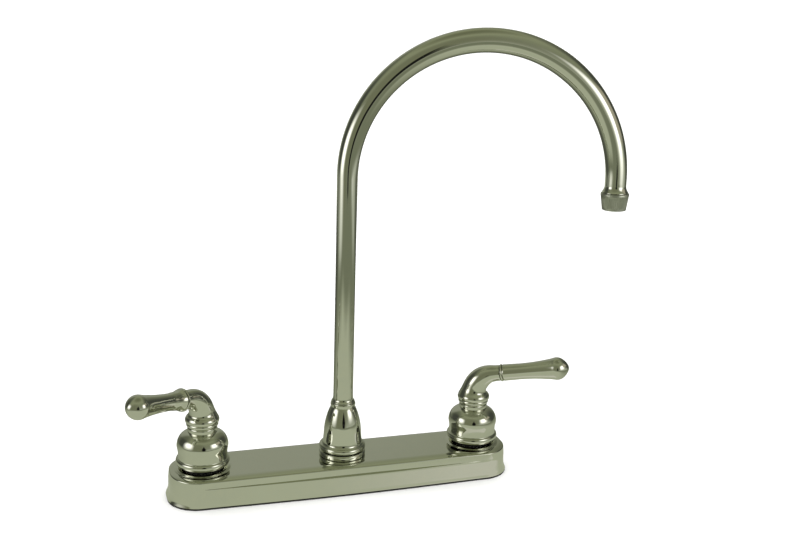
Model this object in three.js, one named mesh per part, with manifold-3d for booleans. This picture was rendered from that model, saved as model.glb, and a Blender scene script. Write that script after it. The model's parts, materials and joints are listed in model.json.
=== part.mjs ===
// Two handle deck faucet with a swivelling gooseneck spout.
// Units are millimetres. Z is up, the deck surface is z = 0 and the origin is
// the centre of the footprint of the base. X runs along the base from the hot
// handle (-X) to the cold handle (+X); -Y is the side the user stands on.

import * as THREE from 'three';
import { mergeVertices } from 'three/addons/utils/BufferGeometryUtils.js';
import Module from 'manifold-3d';

const wasm = await Module();
wasm.setup();

// ---------------------------------------------------------------- dimensions
const CENTRES = 203.2;            // handle to handle, the 8 inch deck pattern
const HX = CENTRES / 2;

const GASKET_T = 1.0;             // black sealing gasket under the base
const BASE_HALF_L = 127.5;        // half length of the base at its foot
const BASE_HALF_W = 25.7;         // half depth of the base at its foot
const BASE_CORNER = 22.5;         // plan radius of the ends
const BASE_BOW = 1.9;             // how far the lower front bulges at mid length
const BASE_Z0 = 1.3;              // lower edge of the base shell
const BASE_TOP = 21.4;            // flat top of the base shell
const SEAT_TOP = 22.4;            // top of the raised seats under the bells
const BASE_WALL = 2.2;            // wall of the base shell

const SPOUT_TURN = 0.192;         // the spout stands turned 11 degrees to the user
const SPOUT_REACH = 190.5;        // riser axis to outlet axis, 7.5 inch
const ARC_R = SPOUT_REACH / 2;
const SPRING_Z = 226.3;           // where the riser starts to bend
const ARC_END = 3.1295;           // angle turned by the bend, radians

const HOT_TURN = THREE.MathUtils.degToRad(220.5);   // way the hot lever points
const COLD_TURN = THREE.MathUtils.degToRad(-30);    // way the cold lever points
const ELBOW_Z0 = 53.0;            // underside of the handle hub
const ELBOW_Z1 = 60.0;            // where the elbow starts to bend
const ELBOW_R = 17.0;             // bend radius of the elbow's centre line
const ELBOW_BEND = THREE.MathUtils.degToRad(79.2);
const LEVER_S0 = 37.2;            // path length from hub underside to trim ring

const SHANK_R = 10.3;             // half inch pipe thread shank
const SHANK_BORE = 6.4;
const SHANK_END = -46;            // lower end of the shanks
const DECK_MAX = 12;              // deck thickness drawn between base and nuts
const PORT_Z = 12;                // height of the cross tubes in the base

// ----------------------------------------------------------------- materials
const chromeMat = () => new THREE.MeshStandardMaterial({ color: 0xb4b8a6, roughness: 0.08, metalness: 1 });
const satinMat = () => new THREE.MeshStandardMaterial({ color: 0x8e9283, roughness: 0.45, metalness: 1 });
const brassMat = () => new THREE.MeshStandardMaterial({ color: 0xb4924c, roughness: 0.35, metalness: 1 });
const copperMat = () => new THREE.MeshStandardMaterial({ color: 0xb5734a, roughness: 0.35, metalness: 1 });
const steelMat = () => new THREE.MeshStandardMaterial({ color: 0x9a9c9c, roughness: 0.35, metalness: 1 });
const rubberMat = () => new THREE.MeshStandardMaterial({ color: 0x161616, roughness: 0.85, metalness: 0 });
const ceramicMat = () => new THREE.MeshStandardMaterial({ color: 0xe9e7e0, roughness: 0.25, metalness: 0 });
const blackNylonMat = () => new THREE.MeshStandardMaterial({ color: 0x141414, roughness: 0.6, metalness: 0 });
const nylonMat = () => new THREE.MeshStandardMaterial({ color: 0xdedbd0, roughness: 0.6, metalness: 0 });

// ------------------------------------------------------------------- helpers
// Position-only, vertex-merged, without the zero-area triangles of the poles.
function clean(geom) {
  const g = geom.clone();
  for (const k of Object.keys(g.attributes)) if (k !== 'position') g.deleteAttribute(k);
  const m = mergeVertices(g, 1e-4);
  const idx = m.index.array, out = [];
  for (let i = 0; i < idx.length; i += 3) {
    const a = idx[i], b = idx[i + 1], c = idx[i + 2];
    if (a !== b && b !== c && c !== a) out.push(a, b, c);
  }
  m.setIndex(out);
  return m;
}

function toSolid(geom) {
  const g = clean(geom);
  return new wasm.Manifold(new wasm.Mesh({
    numProp: 3,
    vertProperties: Float32Array.from(g.attributes.position.array),
    triVerts: Uint32Array.from(g.index.array),
  }));
}

function toGeometry(solid) {
  const m = solid.getMesh();
  const g = new THREE.BufferGeometry();
  g.setAttribute('position', new THREE.BufferAttribute(Float32Array.from(m.vertProperties), 3));
  g.setIndex(new THREE.BufferAttribute(Uint32Array.from(m.triVerts), 1));
  g.computeVertexNormals();
  return g;
}

function cut(geom, ...tools) {
  let s = toSolid(geom);
  for (const t of tools) s = s.subtract(toSolid(t));
  return toGeometry(s);
}

// A turned piece about Z. The profile is a list of [radius, height].
function turned(profile, segments) {
  const g = new THREE.LatheGeometry(profile.map(([r, z]) => new THREE.Vector2(r, z)), segments);
  g.rotateX(Math.PI / 2);
  return clean(g);
}

// A turned ring or sleeve whose profile closes on itself.
function sleeve(profile, segments) {
  return turned([...profile, profile[0]], segments);
}

function plainSleeve(rIn, rOut, z0, z1, segments) {
  return sleeve([[rIn, z0], [rOut, z0], [rOut, z1], [rIn, z1]], segments);
}

function torusRing(major, minor, z, around, section) {
  const p = [];
  for (let i = 0; i < section; i++) {
    const a = -Math.PI / 2 + (i * 2 * Math.PI) / section;
    p.push([major + minor * Math.cos(a), z + minor * Math.sin(a)]);
  }
  return sleeve(p, around);
}

// A plug along X, used for cross bores and the set screws.
function plugX(r, x0, x1, z, segments) {
  const g = new THREE.CylinderGeometry(r, r, x1 - x0, segments, 1);
  g.rotateZ(-Math.PI / 2);
  g.translate((x0 + x1) / 2, 0, z);
  return clean(g);
}

// A plug along Z through (x, y), and a block about (0, 0, z).
function plugZ(r, x, y, z0, z1, segments) {
  const g = turned([[0, z0], [r, z0], [r, z1], [0, z1]], segments);
  g.translate(x, y, 0);
  return g;
}

function block(wide, deep, z0, z1) {
  const g = new THREE.BoxGeometry(wide, deep, z1 - z0);
  g.translate(0, 0, (z0 + z1) / 2);
  return clean(g);
}

// Carries a turned piece, whose axis is Z with z = path length, along a curve
// that lies in the XZ plane: frame(s) gives the point and the tangent angle t
// from +Z towards +X.
function bent(geom, frame) {
  const g = geom.clone();
  const p = g.attributes.position;
  for (let i = 0; i < p.count; i++) {
    const x = p.getX(i), y = p.getY(i);
    const f = frame(p.getZ(i));
    p.setXYZ(i, f.x + x * Math.cos(f.t), y, f.z - x * Math.sin(f.t));
  }
  return g;
}

// Adds stations between profile points so that a long straight wall can bend.
function stations(from, to, n) {
  return Array.from({ length: n + 1 }, (_, i) => from + ((to - from) * i) / n);
}

function hexShape(acrossFlats, holeR, holeSegments) {
  const s = new THREE.Shape();
  const R = acrossFlats / Math.sqrt(3);
  for (let i = 0; i < 6; i++) {
    const a = (i * Math.PI) / 3;
    if (i === 0) s.moveTo(R * Math.cos(a), R * Math.sin(a));
    else s.lineTo(R * Math.cos(a), R * Math.sin(a));
  }
  s.closePath();
  const h = new THREE.Path();
  for (let i = 0; i < holeSegments; i++) {
    const a = (-i * 2 * Math.PI) / holeSegments;
    if (i === 0) h.moveTo(holeR * Math.cos(a), holeR * Math.sin(a));
    else h.lineTo(holeR * Math.cos(a), holeR * Math.sin(a));
  }
  h.closePath();
  s.holes.push(h);
  return s;
}

function hexNut(acrossFlats, holeR, z0, z1) {
  const g = new THREE.ExtrudeGeometry(hexShape(acrossFlats, holeR, 20), { depth: z1 - z0, steps: 1, bevelEnabled: false });
  g.translate(0, 0, z0);
  return clean(g);
}

// Plan outline of the base, with its corner arcs stepped evenly and stations
// along the front, where the lower part of the face is bowed.
function baseOutline(inset, cornerSteps, bow = 0, path = new THREE.Shape()) {
  const a = BASE_HALF_L - inset, b = BASE_HALF_W - inset, r = BASE_CORNER - inset;
  const corners = [[a - r, -(b - r), -Math.PI / 2], [a - r, b - r, 0], [-(a - r), b - r, Math.PI / 2], [-(a - r), -(b - r), Math.PI]];
  let first = true;
  for (const [cx, cy, a0] of corners) {
    for (let i = 0; i <= cornerSteps; i++) {
      const t = a0 + (i * Math.PI) / 2 / cornerSteps;
      const x = cx + r * Math.cos(t), y = cy + r * Math.sin(t);
      if (first) { path.moveTo(x, y); first = false; } else path.lineTo(x, y);
    }
  }
  for (let i = 1; i < 8; i++) {
    const u = -1 + i / 4;
    path.lineTo((a - r) * u, -b - bow * (1 - u * u));
  }
  path.closePath();
  return path;
}

// The outline carried up through a list of levels: height, then the inset at
// the front, at the back and at the ends, and the bow of the front.
function baseLoft(levels, cornerSteps) {
  const g = new THREE.ExtrudeGeometry(baseOutline(0, cornerSteps), { depth: levels.length - 1, steps: levels.length - 1, bevelEnabled: false });
  const p = g.attributes.position;
  const lx = BASE_HALF_L - BASE_CORNER, ly = BASE_HALF_W - BASE_CORNER;
  for (let i = 0; i < p.count; i++) {
    const [z, front, back, end, bow] = levels[Math.round(p.getZ(i))];
    const x = p.getX(i), y = p.getY(i);
    const cx = THREE.MathUtils.clamp(x, -lx, lx), cy = THREE.MathUtils.clamp(y, -ly, ly);
    const ny = (y - cy) / BASE_CORNER, nx = (x - cx) / BASE_CORNER;
    const inset = ny * ny * (ny < 0 ? front : back) + nx * nx * end;
    const k = (BASE_CORNER - inset) / BASE_CORNER;
    const out = ny < 0 ? bow * Math.max(0, 1 - (cx / lx) * (cx / lx)) : 0;
    p.setXYZ(i, cx + (x - cx) * k, cy + (y - cy) * k - out, z);
  }
  return clean(g);
}

function part(name, geometry, material) {
  const m = new THREE.Mesh(geometry, material);
  m.name = name;
  return m;
}

const faucet = new THREE.Group();

// ---------------------------------------------------------------------- base
{
  const s = baseOutline(0.9, 6, BASE_BOW);
  for (const x of [-HX, HX]) {
    const h = new THREE.Path();
    for (let i = 0; i < 20; i++) {
      const a = (-i * 2 * Math.PI) / 20;
      const px = x + 14 * Math.cos(a), py = 14 * Math.sin(a);
      if (i === 0) h.moveTo(px, py); else h.lineTo(px, py);
    }
    h.closePath();
    s.holes.push(h);
  }
  const g = new THREE.ExtrudeGeometry(s, { depth: GASKET_T, steps: 1, bevelEnabled: false });
  faucet.add(part('base_gasket', clean(g), rubberMat()));
}
{
  // slight foot, bowed lower face, narrow ledge at 15, straight upper face,
  // crisp upper edge and a shallow shoulder up to the flat top
  const outer = baseLoft([
    [BASE_Z0, 0, 0.2, 0, BASE_BOW], [3.6, 0.4, 0.6, 1.0, BASE_BOW], [7.0, 0.75, 0.95, 1.85, BASE_BOW],
    [14.7, 0.86, 1.2, 2.0, BASE_BOW], [15.2, 0.95, 1.3, 2.05, 0], [19.4, 1.1, 1.5, 2.5, 0],
    [20.2, 1.45, 1.9, 2.9, 0], [20.75, 3.2, 3.6, 4.5, 0], [BASE_TOP, 8.0, 8.4, 9.0, 0],
  ], 6);
  const w = BASE_WALL;
  const inner = baseLoft([
    [0.2, w, w + 0.2, w, BASE_BOW], [3.6, w + 0.4, w + 0.6, w + 1, BASE_BOW], [11.5, w + 0.85, w + 1.1, w + 1.9, BASE_BOW],
    [13.3, w + 0.9, w + 1.2, w + 2, 0], [17.6, w + 1.1, w + 1.5, w + 2.4, 0], [BASE_TOP - w, w + 4, w + 4.4, w + 5.2, 0],
  ], 4);
  const seat = (x) => { const c = turned([[0, 20.3], [19.4, 20.3], [19.4, 21.55], [17.6, SEAT_TOP], [0, SEAT_TOP]], 24); c.translate(x, 0, 0); return toSolid(c); };
  const bore = (x, r) => { const c = turned([[0, 10], [r, 10], [r, 30], [0, 30]], 20); c.translate(x, 0, 0); return c; };
  const shell = toGeometry(toSolid(outer).add(seat(-HX)).add(seat(HX)));
  faucet.add(part('base_plate', cut(shell, inner, bore(-HX, 10.9), bore(HX, 10.9), bore(0, 10.9)), chromeMat()));
}

// ------------------------------------------- waterway, hidden inside the base
function valveBody(towardsCentre) {
  // shank, body and cartridge chamber in one turned casting, one side port
  const g = sleeve([
    [SHANK_BORE, SHANK_END], [SHANK_R, SHANK_END], [SHANK_R, 3.2], [14, 3.2], [14, 18.9], [10.2, 18.9],
    [10.2, 33], [8.1, 33], [8.1, 8], [SHANK_BORE, 8],
  ], 16);
  const port = towardsCentre > 0 ? plugX(4.5, 3, 20, PORT_Z, 12) : plugX(4.5, -20, -3, PORT_Z, 12);
  return cut(g, port);
}
for (const [side, x] of [['hot', -HX], ['cold', HX]]) {
  const g = new THREE.Group();
  g.position.x = x;
  g.add(part(`${side}_valve_body`, valveBody(-x), brassMat()));
  g.add(part(`${side}_body_nut`, hexNut(25.4, 10.6, SEAT_TOP + 0.3, 27.2), blackNylonMat()));
  g.add(part(`${side}_seat_seal`, plainSleeve(4.2, 7.2, 8.4, 13.4, 12), rubberMat()));
  // ports along X; the notches of the moving disc come over them when open
  g.add(part(`${side}_fixed_disc`, cut(
    turned([[0, 13.9], [4.6, 13.9], [4.6, 16.9], [0, 16.9]], 16),
    plugZ(1.2, -2.9, 0, 13, 18, 10), plugZ(1.2, 2.9, 0, 13, 18, 10),
  ), ceramicMat()));
  // side windows level with the moving disc let the water out
  g.add(part(`${side}_cartridge`, cut(sleeve([
    [5.0, 13.7], [6.9, 13.7], [6.9, 24.0], [7.7, 24.0], [7.7, 35.0], [4.0, 35.0], [4.0, 22.6], [5.0, 22.6],
  ], 16), plugX(1.5, -9, 9, 18.7, 10)), brassMat()));
  g.add(part(`${side}_bonnet`, sleeve([
    [10.6, 27.5], [12.8, 27.5], [12.8, 36.4], [11.8, 37.5], [5.2, 37.5], [5.2, 35.4], [8.2, 35.4], [8.2, 33.4], [10.6, 33.4],
  ], 16), brassMat()));
  g.add(part(`${side}_mounting_washer`, plainSleeve(10.8, 20, -DECK_MAX - 1.9, -DECK_MAX - 0.3, 18), steelMat()));
  g.add(part(`${side}_mounting_nut`, hexNut(31.8, 10.8, -DECK_MAX - 9.2, -DECK_MAX - 2.2), brassMat()));
  faucet.add(g);
}
{
  const tubes = [['hot_feed_tube', -1], ['cold_feed_tube', 1]];
  for (const [name, s] of tubes) {
    const g = plainSleeve(3.1, 4.1, 10.6, HX - 10.6, 12);
    g.rotateY((s * Math.PI) / 2);
    g.translate(0, 0, PORT_Z);
    faucet.add(part(name, g, copperMat()));
  }
  // centre tee: closed below, open above, where the spout bushing turns
  const tee = sleeve([
    [0, 3.5], [14, 3.5], [14, 18.9], [10.2, 18.9], [10.2, 41.4], [8.8, 41.4], [8.8, 6.5], [0, 6.5],
  ], 20);
  faucet.add(part('centre_tee', cut(tee, plugX(4.5, -20, -3, PORT_Z, 12), plugX(4.5, 3, 20, PORT_Z, 12)), brassMat()));
}

// ------------------------------------------------------- spout foot, standing
faucet.add(part('spout_base_ring', sleeve([
  [10.7, 21.7], [16.6, 21.7], [16.95, 22.2], [16.95, 23.9], [16.6, 24.9], [15.6, 25.35], [14.6, 25.35], [14.6, 24.3], [10.7, 24.3],
], 22), chromeMat()));
faucet.add(part('spout_glide_ring', plainSleeve(10.7, 14.3, 24.6, 26.0, 22), blackNylonMat()));
faucet.add(part('spout_nut', sleeve([
  [10.6, 26.3], [16.0, 26.3], [16.85, 27.1], [16.95, 28.2], [16.6, 29.3], [15.6, 30.25], [14.6, 31.2], [14.15, 32.8], [13.85, 35.4],
  [13.5, 41], [12.9, 45.6], [11.9, 50.2], [10.5, 54.6], [9.0, 58.0], [8.6, 58.6], [8.95, 59.7], [8.9, 61.1], [8.5, 61.9],
  [7.7, 61.9], [7.7, 45.2], [10.6, 45.2],
], 22), chromeMat()));
faucet.add(part('spout_thrust_washer', plainSleeve(8.4, 10.0, 41.7, 42.5, 20), nylonMat()));

// ------------------------------------------------------------ spout, swivels
const spout = new THREE.Group();
spout.rotation.z = -SPOUT_TURN;
{
  const arcLen = ARC_R * ARC_END;
  const sArc = SPRING_Z, sEnd = SPRING_Z + arcLen;
  const path = (s) => {
    if (s <= sArc) return { x: 0, z: s, t: 0 };
    if (s <= sEnd) { const t = (s - sArc) / ARC_R; return { x: ARC_R - ARC_R * Math.cos(t), z: SPRING_Z + ARC_R * Math.sin(t), t }; }
    const d = s - sEnd, t = ARC_END;
    return { x: ARC_R - ARC_R * Math.cos(t) + d * Math.sin(t), z: SPRING_Z + ARC_R * Math.sin(t) + d * Math.cos(t), t };
  };
  // outside radius of the tube by path length: slim riser, fuller bend
  const radii = [[38, 7.0], [62.2, 7.0], [62.3, 8.5], [63.2, 7.9], [64.6, 7.4], [68, 7.2], [90, 7.15], [140, 7.05], [200, 7.05], [sArc, 7.3]];
  const along = (t) => sArc + ARC_R * t;
  radii.push([along(0.3), 7.6], [along(0.7), 8.0], [along(1.2), 8.3], [along(1.7), 8.45], [along(2.2), 8.45], [along(2.7), 8.0], [along(3.0), 7.7], [sEnd, 7.6], [sEnd + 5, 7.6], [sEnd + 7.5, 8.3], [sEnd + 9.6, 9.2]);
  const radius = (s) => {
    for (let i = 1; i < radii.length; i++) if (s <= radii[i][0]) {
      const [s0, r0] = radii[i - 1], [s1, r1] = radii[i];
      return r0 + ((r1 - r0) * (s - s0)) / (s1 - s0);
    }
    return radii[radii.length - 1][1];
  };
  const outS = [38, 62.2, 62.3, 63.2, 64.6, 68, 140, ...stations(sArc, sEnd, 24), sEnd + 5, sEnd + 7.5, sEnd + 9.6];
  const inS = [38, ...stations(sArc, sEnd, 24), sEnd + 9.6];
  const innerR = (s) => (s > sEnd + 6 ? 6.2 : 5.9);
  const profile = [...outS.map((s) => [radius(s), s]), ...inS.reverse().map((s) => [innerR(s), s])];
  profile.unshift([5.9, 38]);
  profile.pop();
  spout.add(part('spout_tube', clean(bent(sleeve(profile, 12), path)), chromeMat()));

  spout.add(part('spout_bushing', sleeve([
    [5.4, 13.5], [7.9, 13.5], [7.9, 16.6], [6.4, 16.6], [6.4, 19.4], [7.9, 19.4], [7.9, 26.6], [6.4, 26.6], [6.4, 29.4],
    [7.9, 29.4], [7.9, 42.8], [9.8, 42.8], [9.8, 44.6], [7.4, 44.6], [7.4, 37.6], [5.4, 37.6],
  ], 16), brassMat()));
  spout.add(part('spout_o_ring_lower', torusRing(7.6, 0.8, 18, 16, 5), rubberMat()));
  spout.add(part('spout_o_ring_upper', torusRing(7.6, 0.8, 28, 16, 5), rubberMat()));

  const e = sEnd;
  const atEnd = (g) => clean(bent(g, path));
  spout.add(part('aerator_adapter', atEnd(plainSleeve(5.2, 6.9, e + 9.9, e + 15.0, 16)), brassMat()));
  spout.add(part('aerator_shell', atEnd(sleeve([
    [7.4, e + 9.95], [9.6, e + 9.95], [10.0, e + 10.9], [10.0, e + 12.5], [8.6, e + 21.4], [8.2, e + 22.2],
    [6.5, e + 22.2], [6.5, e + 21.2], [7.4, e + 21.2],
  ], 20)), satinMat()));
  spout.add(part('aerator_washer', atEnd(plainSleeve(4.6, 6.9, e + 15.3, e + 16.6, 16)), rubberMat()));
  spout.add(part('aerator_insert', atEnd(plainSleeve(1.2, 6.9, e + 16.9, e + 20.0, 16)), nylonMat()));
  spout.add(part('aerator_screen', atEnd(plainSleeve(0.8, 6.9, e + 20.3, e + 20.9, 16)), steelMat()));
}
faucet.add(spout);

// ------------------------------------------------------------------- handles
const elbowPath = (s) => {
  const s1 = ELBOW_Z1 - ELBOW_Z0, s2 = s1 + ELBOW_R * ELBOW_BEND;
  if (s <= s1) return { x: 0, z: ELBOW_Z0 + s, t: 0 };
  if (s <= s2) { const t = (s - s1) / ELBOW_R; return { x: ELBOW_R * (1 - Math.cos(t)), z: ELBOW_Z1 + ELBOW_R * Math.sin(t), t }; }
  const d = s - s2, t = ELBOW_BEND;
  return { x: ELBOW_R * (1 - Math.cos(t)) + d * Math.sin(t), z: ELBOW_Z1 + ELBOW_R * Math.sin(t) + d * Math.cos(t), t };
};

function handle(side, x, turn, ringR, flare) {
  const h = new THREE.Group();
  h.position.x = x;
  h.rotation.z = turn;

  // the tang under the stem drives the moving disc by its slot
  h.add(part(`${side}_stem`, toGeometry(toSolid(turned([
    [0, 20.6], [4.6, 20.6], [4.6, 22.2], [3.5, 22.2], [3.5, 27.9], [2.5, 27.9], [2.5, 30.1], [3.5, 30.1], [3.5, 60.0], [0, 60.0],
  ], 12)).add(toSolid(block(7.6, 1.6, 19.2, 20.8)))), brassMat()));
  h.add(part(`${side}_stem_o_ring`, torusRing(3.25, 0.42, 29, 10, 5), rubberMat()));
  h.add(part(`${side}_moving_disc`, cut(
    turned([[0, 17.2], [4.6, 17.2], [4.6, 20.2], [0, 20.2]], 16),
    plugZ(1.7, 0, -3.3, 16, 21, 10), plugZ(1.7, 0, 3.3, 16, 21, 10), block(10, 2.2, 18.9, 20.6),
  ), ceramicMat()));
  h.add(part(`${side}_spline_insert`, plainSleeve(3.9, 5.2, 53.4, 60.4, 12), nylonMat()));

  h.add(part(`${side}_bell`, sleeve([
    [16.9, 25.0], [17.9, 25.0], [18.4, 25.3], [18.85, 26.3], [18.95, 27.2], [18.8, 28.15], [18.35, 29.0], [17.4, 29.5], [17.3, 33.0], [17.5, 35.4],
    [18.05, 38.6], [17.6, 41.7], [16.1, 44.9], [13.3, 47.3], [10.1, 48.5], [10.4, 49.8], [10.3, 51.8], [9.8, 52.7],
    [5.3, 52.7], [5.3, 46.2], [12.8, 45.2], [15.7, 41.5], [15.5, 29.8], [16.9, 27.6],
  ], 18), chromeMat()));

  const hub = bent(turned([
    [0, 0], [10.5, 0], [11.2, 0.9], [11.2, 2.2], [11.9, 4.0], [11.9, 5.2], [10.9, 7.0], [9.7, 9.2], [8.9, 12], [8.5, 16],
    [8.1, 20], [7.4, 24.5], [6.5, 29], [5.95, 33], [5.9, 36.1], [0, 36.1],
  ], 16), elbowPath);
  const bore = turned([[0, 52], [5.5, 52], [5.5, 61], [0, 61]], 12);
  const screwHole = plugX(2.6, -14, -2, 57.6, 10);
  const studHole = bent(turned([[0, 30.9], [3.2, 30.9], [3.2, 38], [0, 38]], 10), elbowPath);
  h.add(part(`${side}_handle_hub`, cut(hub, bore, screwHole, studHole), chromeMat()));
  h.add(part(`${side}_set_screw`, plugX(2.2, -11.4, -5.7, 57.6, 8), steelMat()));

  h.add(part(`${side}_lever_ring`, clean(bent(sleeve([
    [3.4, LEVER_S0 - 0.8], [ringR - 0.5, LEVER_S0 - 0.8], [ringR, LEVER_S0], [ringR - 0.5, LEVER_S0 + 0.8], [3.4, LEVER_S0 + 0.8],
  ], 16), elbowPath)), chromeMat()));
  const L = LEVER_S0;
  h.add(part(`${side}_lever`, clean(bent(turned([
    [0, L - 5.9], [2.8, L - 5.9], [2.8, L + 1.1], [flare, L + 1.1], [flare - (flare - 6.05) * 0.6, L + 4.5], [6.05 + (flare - 6.05) * 0.15, L + 9], [5.98, L + 15], [6.4, L + 25],
    [7.2, L + 33.5], [7.8, L + 37.8], [8.38, L + 41.0], [8.1, L + 43.0], [7.3, L + 44.7], [6.1, L + 46.1], [4.6, L + 47.4], [3.1, L + 48.6], [1.5, L + 49.7], [0, L + 50.1],
  ], 14), elbowPath)), chromeMat()));
  return h;
}
faucet.add(handle('hot', -HX, HOT_TURN, 8.1, 7.7));
faucet.add(handle('cold', HX, COLD_TURN, 6.5, 6.15));

export default faucet;
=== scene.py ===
import json
import math

import bmesh
import bpy
from mathutils import Matrix, Vector


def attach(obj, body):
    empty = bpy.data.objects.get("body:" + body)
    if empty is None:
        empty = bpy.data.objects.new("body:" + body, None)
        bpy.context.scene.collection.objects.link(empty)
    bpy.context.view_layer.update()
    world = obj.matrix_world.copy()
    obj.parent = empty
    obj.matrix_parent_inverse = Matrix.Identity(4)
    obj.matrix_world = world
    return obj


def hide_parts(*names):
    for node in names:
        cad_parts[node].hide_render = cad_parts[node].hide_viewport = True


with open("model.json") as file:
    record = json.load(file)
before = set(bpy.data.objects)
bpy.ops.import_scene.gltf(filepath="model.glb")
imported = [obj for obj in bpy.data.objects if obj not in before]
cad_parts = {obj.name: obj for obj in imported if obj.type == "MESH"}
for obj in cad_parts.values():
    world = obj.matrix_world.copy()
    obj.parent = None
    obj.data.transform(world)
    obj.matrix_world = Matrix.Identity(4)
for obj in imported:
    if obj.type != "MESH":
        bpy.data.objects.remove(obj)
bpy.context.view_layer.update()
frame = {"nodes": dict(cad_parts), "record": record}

MM = 0.001
TAU = 2 * math.pi

# ------------------------------------------------------------ frame dimensions
HX = 101.6
SPOUT_TURN = -0.192
ARC_R = 95.25
SPRING_Z = 226.3
ARC_END = 3.1295
S_END = SPRING_Z + ARC_R * ARC_END
HOT_TURN = math.radians(220.5)
COLD_TURN = math.radians(-30.0)
ELBOW_Z0, ELBOW_Z1, ELBOW_R, ELBOW_BEND = 53.0, 60.0, 17.0, math.radians(79.2)
LEVER_S0 = 37.2
BASE_HALF_L, BASE_HALF_W, BASE_CORNER = 127.5, 25.7, 22.5
BASE_BOW, BASE_TOP, SEAT_TOP = 1.9, 21.4, 22.4


# ------------------------------------------------------------------- profiles
def curve(points, step=0.4):
    """A centripetal Catmull-Rom curve through (r, s) points, sampled about every step mm."""
    pts = [Vector(p) for p in points]
    pts = [pts[0] * 2 - pts[1]] + pts + [pts[-1] * 2 - pts[-2]]
    out = []
    for i in range(1, len(pts) - 2):
        p0, p1, p2, p3 = pts[i - 1:i + 3]
        t0 = 0.0
        t1 = t0 + max((p1 - p0).length, 1e-6) ** 0.5
        t2 = t1 + max((p2 - p1).length, 1e-6) ** 0.5
        t3 = t2 + max((p3 - p2).length, 1e-6) ** 0.5
        n = max(2, math.ceil((p2 - p1).length / step))
        for k in range(n):
            t = t1 + (t2 - t1) * k / n
            a1 = p0 * ((t1 - t) / (t1 - t0)) + p1 * ((t - t0) / (t1 - t0))
            a2 = p1 * ((t2 - t) / (t2 - t1)) + p2 * ((t - t1) / (t2 - t1))
            a3 = p2 * ((t3 - t) / (t3 - t2)) + p3 * ((t - t2) / (t3 - t2))
            b1 = a1 * ((t2 - t) / (t2 - t0)) + a2 * ((t - t0) / (t2 - t0))
            b2 = a2 * ((t3 - t) / (t3 - t1)) + a3 * ((t - t1) / (t3 - t1))
            out.append(b1 * ((t2 - t) / (t2 - t1)) + b2 * ((t - t1) / (t2 - t1)))
    out.append(pts[-2])
    return [(p.x, p.y) for p in out]


def rounded(points, n=6):
    """A polyline of (r, s, radius) with an arc of that radius at each inner corner."""
    out = []
    for i, (r, s, rad) in enumerate(points):
        if rad <= 0 or i in (0, len(points) - 1):
            out.append((r, s))
            continue
        p = Vector((r, s))
        a = (Vector(points[i - 1][:2]) - p)
        b = (Vector(points[i + 1][:2]) - p)
        la, lb = a.length, b.length
        a.normalize(), b.normalize()
        half = a.angle(b) / 2
        t = min(rad / math.tan(half), la * 0.49, lb * 0.49)
        rad = t * math.tan(half)
        c = p + (a + b).normalized() * (rad / math.sin(half))
        p1, p2 = p + a * t, p + b * t
        a1 = math.atan2(p1.y - c.y, p1.x - c.x)
        a2 = math.atan2(p2.y - c.y, p2.x - c.x)
        d = (a2 - a1 + math.pi) % TAU - math.pi
        for k in range(n + 1):
            w = a1 + d * k / n
            out.append((c.x + rad * math.cos(w), c.y + rad * math.sin(w)))
    return out


def tidy(profile):
    out = []
    for p in profile:
        if not out or math.hypot(p[0] - out[-1][0], p[1] - out[-1][1]) > 1e-4:
            out.append((max(p[0], 0.0), p[1]))
    return out


# --------------------------------------------------------------- placing maps
def turn_z(v, a, x=0.0):
    return Vector((x + v.x * math.cos(a) - v.y * math.sin(a), v.x * math.sin(a) + v.y * math.cos(a), v.z))


def upright(x=0.0):
    return lambda px, py, s: Vector((x + px, py, s)) * MM


def spout_path(s):
    if s <= SPRING_Z:
        return 0.0, s, 0.0
    if s <= S_END:
        t = (s - SPRING_Z) / ARC_R
        return ARC_R - ARC_R * math.cos(t), SPRING_Z + ARC_R * math.sin(t), t
    d, t = s - S_END, ARC_END
    return (ARC_R - ARC_R * math.cos(t) + d * math.sin(t), SPRING_Z + ARC_R * math.sin(t) + d * math.cos(t), t)


def along_spout(px, py, s):
    x, z, t = spout_path(s)
    return turn_z(Vector((x + px * math.cos(t), py, z - px * math.sin(t))), SPOUT_TURN) * MM


def elbow_path(s):
    s1 = ELBOW_Z1 - ELBOW_Z0
    s2 = s1 + ELBOW_R * ELBOW_BEND
    if s <= s1:
        return 0.0, ELBOW_Z0 + s, 0.0
    if s <= s2:
        t = (s - s1) / ELBOW_R
        return ELBOW_R * (1 - math.cos(t)), ELBOW_Z1 + ELBOW_R * math.sin(t), t
    d, t = s - s2, ELBOW_BEND
    return (ELBOW_R * (1 - math.cos(t)) + d * math.sin(t), ELBOW_Z1 + ELBOW_R * math.sin(t) + d * math.cos(t), t)


def along_elbow(x0, a):
    def f(px, py, s):
        x, z, t = elbow_path(s)
        return turn_z(Vector((x + px * math.cos(t), py, z - px * math.sin(t))), a, x0) * MM
    return f


def in_handle(x0, a):
    return lambda px, py, s: turn_z(Vector((px, py, s)), a, x0) * MM


# --------------------------------------------------------------- mesh building
def make_object(name, bm, sharp_deg=32.0):
    bmesh.ops.remove_doubles(bm, verts=bm.verts, dist=1e-7)
    bmesh.ops.dissolve_degenerate(bm, edges=bm.edges, dist=1e-7)
    bmesh.ops.recalc_face_normals(bm, faces=bm.faces)
    for f in bm.faces:
        f.smooth = True
    lim = math.radians(sharp_deg)
    for e in bm.edges:
        if len(e.link_faces) == 2 and e.calc_face_angle(0.0) > lim:
            e.smooth = False
    me = bpy.data.meshes.new(name)
    bm.to_mesh(me)
    bm.free()
    ob = bpy.data.objects.new(name, me)
    bpy.context.scene.collection.objects.link(ob)
    return ob


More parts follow.
